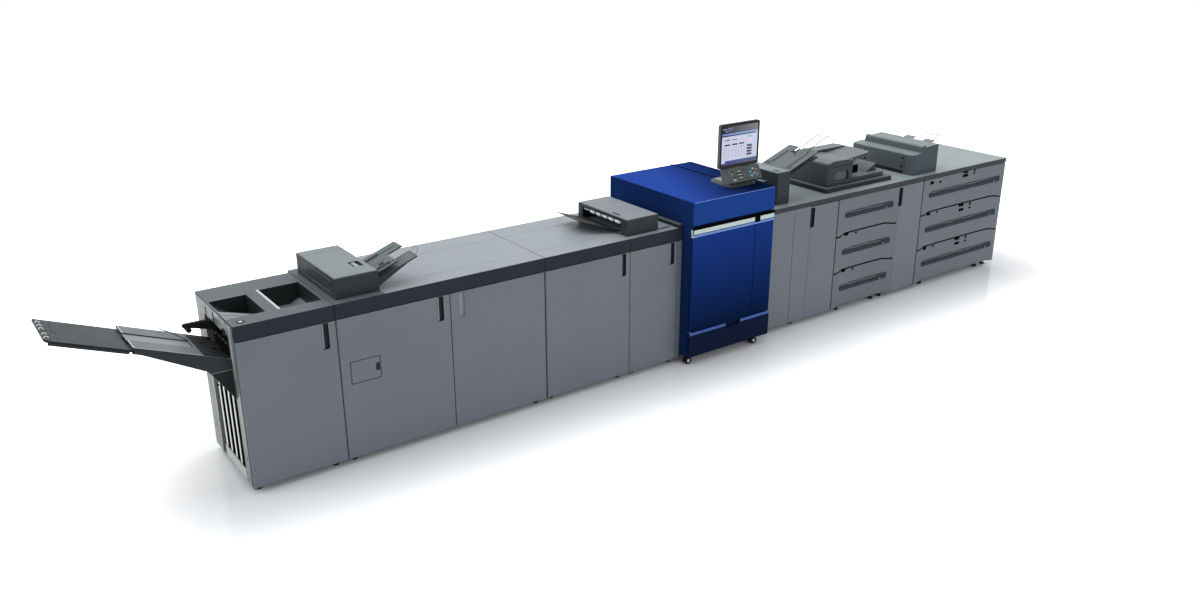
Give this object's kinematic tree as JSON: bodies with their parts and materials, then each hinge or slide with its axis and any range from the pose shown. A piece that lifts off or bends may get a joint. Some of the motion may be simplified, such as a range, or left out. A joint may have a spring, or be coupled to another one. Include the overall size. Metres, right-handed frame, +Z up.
{
  "type": "digital production press",
  "caption": "Long sheet-fed digital printing line: paper feeders, blue print engine with operator panel, folding, stitching and trimming units with doors, and a booklet tray.",
  "frame": {"origin": "middle of the machine's footprint box, on the floor", "axes": "+X along the line from the booklet tray to the last paper feeder, +Y from the door side to the back, +Z up"},
  "size_m": [7.9304, 0.985, 1.716],
  "materials": {
    "grey_cover": "satin",
    "slate_cover": "matt, finely grained",
    "pale_top": "satin",
    "blue_cover": "satin",
    "light_strip": "satin",
    "black_plastic": "matt",
    "zinc": "zinc plated"
  },
  "bodies": {
    "line": {"trimmer_housing": "grey_cover", "trimmer_top": "pale_top", "end_frame": "zinc", "guide_rails": "zinc", "exit_unit": "black_plastic", "booklet_tray": "grey_cover", "stitcher_housing": "grey_cover", "stitcher_inserter": "slate_cover", "inserter_trays": "slate_cover", "folder_housing": "grey_cover", "transport_housing": "grey_cover", "relay_box": "slate_cover", "relay_tray": "slate_cover", "exit_rollers": "light_strip", "front_bands": "slate_cover", "top_plates": "pale_top", "door_hinges": "zinc", "engine_body": "blue_cover", "engine_head": "blue_cover", "engine_strips": "light_strip", "engine_kick": "blue_cover", "engine_casters": "black_plastic", "panel_base": "slate_cover", "relay_housing": "grey_cover", "upright_inserter": "slate_cover", "upright_trays": "slate_cover", "feeder_1_housing": "grey_cover", "drawer_runners": "zinc", "feeder_2_housing": "grey_cover", "countertops": "pale_top", "platen_base": "slate_cover", "long_inserter": "slate_cover", "back_tray": "slate_cover", "feet": "black_plastic", "feeder_casters": "black_plastic"},
    "trimmer_door": {"trimmer_door": "grey_cover"},
    "stitcher_left_door": {"stitcher_left_door": "grey_cover"},
    "stitcher_right_door": {"stitcher_right_door": "grey_cover"},
    "folder_door": {"folder_door": "grey_cover"},
    "transport_door": {"transport_door": "grey_cover"},
    "engine_left_door": {"engine_left_door": "blue_cover"},
    "engine_right_door": {"engine_right_door": "blue_cover"},
    "feeder_1_door": {"feeder_1_door": "grey_cover"},
    "feeder_2_door": {"feeder_2_door": "grey_cover"},
    "service_hatch": {"service_hatch": "grey_cover"},
    "drawer_1_top": {"drawer_1_top": "grey_cover"},
    "drawer_1_middle": {"drawer_1_middle": "grey_cover"},
    "drawer_1_bottom": {"drawer_1_bottom": "grey_cover"},
    "drawer_2_top": {"drawer_2_top": "grey_cover"},
    "drawer_2_middle": {"drawer_2_middle": "grey_cover"},
    "drawer_2_bottom": {"drawer_2_bottom": "grey_cover"},
    "tray_extension": {"tray_extension": "grey_cover"},
    "screen": {"screen": "black_plastic"},
    "document_feeder": {"document_feeder": "slate_cover"}
  },
  "joints": [
    {"name": "trimmer_door_hinge", "type": "hinge", "parent": "line", "child": "trimmer_door", "pos_m": [-3.06608, -0.3715, 0.494], "axis": [0, 0, -1], "range_deg": [0, 90]},
    {"name": "stitcher_left_door_hinge", "type": "hinge", "parent": "line", "child": "stitcher_left_door", "pos_m": [-2.48608, -0.3715, 0.494], "axis": [0, 0, -1], "range_deg": [0, 90]},
    {"name": "stitcher_right_door_hinge", "type": "hinge", "parent": "line", "child": "stitcher_right_door", "pos_m": [-1.07408, -0.3715, 0.494], "axis": [0, 0, 1], "range_deg": [0, 90]},
    {"name": "folder_door_hinge", "type": "hinge", "parent": "line", "child": "folder_door", "pos_m": [-1.04608, -0.3715, 0.494], "axis": [0, 0, -1], "range_deg": [0, 90]},
    {"name": "transport_door_hinge", "type": "hinge", "parent": "line", "child": "transport_door", "pos_m": [-0.35008, -0.3715, 0.494], "axis": [0, 0, -1], "range_deg": [0, 90]},
    {"name": "engine_left_door_hinge", "type": "hinge", "parent": "line", "child": "engine_left_door", "pos_m": [0.11992, -0.4815, 0.6265], "axis": [0, 0, -1], "range_deg": [0, 90]},
    {"name": "engine_right_door_hinge", "type": "hinge", "parent": "line", "child": "engine_right_door", "pos_m": [0.89192, -0.4815, 0.6265], "axis": [0, 0, 1], "range_deg": [0, 90]},
    {"name": "feeder_1_door_hinge", "type": "hinge", "parent": "line", "child": "feeder_1_door", "pos_m": [1.72592, -0.3715, 0.5075], "axis": [0, 0, 1], "range_deg": [0, 90]},
    {"name": "feeder_2_door_hinge", "type": "hinge", "parent": "line", "child": "feeder_2_door", "pos_m": [2.78592, -0.3715, 0.5075], "axis": [0, 0, 1], "range_deg": [0, 90]},
    {"name": "service_hatch_hinge", "type": "hinge", "parent": "stitcher_left_door", "child": "service_hatch", "pos_m": [-2.42808, -0.3775, 0.595], "axis": [0, 0, -1], "range_deg": [0, 90]},
    {"name": "drawer_1_top_slide", "type": "slide", "parent": "line", "child": "drawer_1_top", "axis": [0, -1, 0], "range_m": [0, 0.45]},
    {"name": "drawer_1_middle_slide", "type": "slide", "parent": "line", "child": "drawer_1_middle", "axis": [0, -1, 0], "range_m": [0, 0.45]},
    {"name": "drawer_1_bottom_slide", "type": "slide", "parent": "line", "child": "drawer_1_bottom", "axis": [0, -1, 0], "range_m": [0, 0.45]},
    {"name": "drawer_2_top_slide", "type": "slide", "parent": "line", "child": "drawer_2_top", "axis": [0, -1, 0], "range_m": [0, 0.45]},
    {"name": "drawer_2_middle_slide", "type": "slide", "parent": "line", "child": "drawer_2_middle", "axis": [0, -1, 0], "range_m": [0, 0.45]},
    {"name": "drawer_2_bottom_slide", "type": "slide", "parent": "line", "child": "drawer_2_bottom", "axis": [0, -1, 0], "range_m": [0, 0.45]},
    {"name": "tray_extension_slide", "type": "slide", "parent": "line", "child": "tray_extension", "axis": [0.9311, 0, -0.3649], "range_m": [0, 0.28]},
    {"name": "screen_tilt", "type": "hinge", "parent": "line", "child": "screen", "pos_m": [0.70392, -0.2605, 1.405], "axis": [-1, 0, 0], "range_deg": [0, 25]},
    {"name": "document_feeder_hinge", "type": "hinge", "parent": "line", "child": "document_feeder", "pos_m": [2.07392, 0.2235, 1.076], "axis": [-1, 0, 0], "range_deg": [0, 60]}
  ]
}
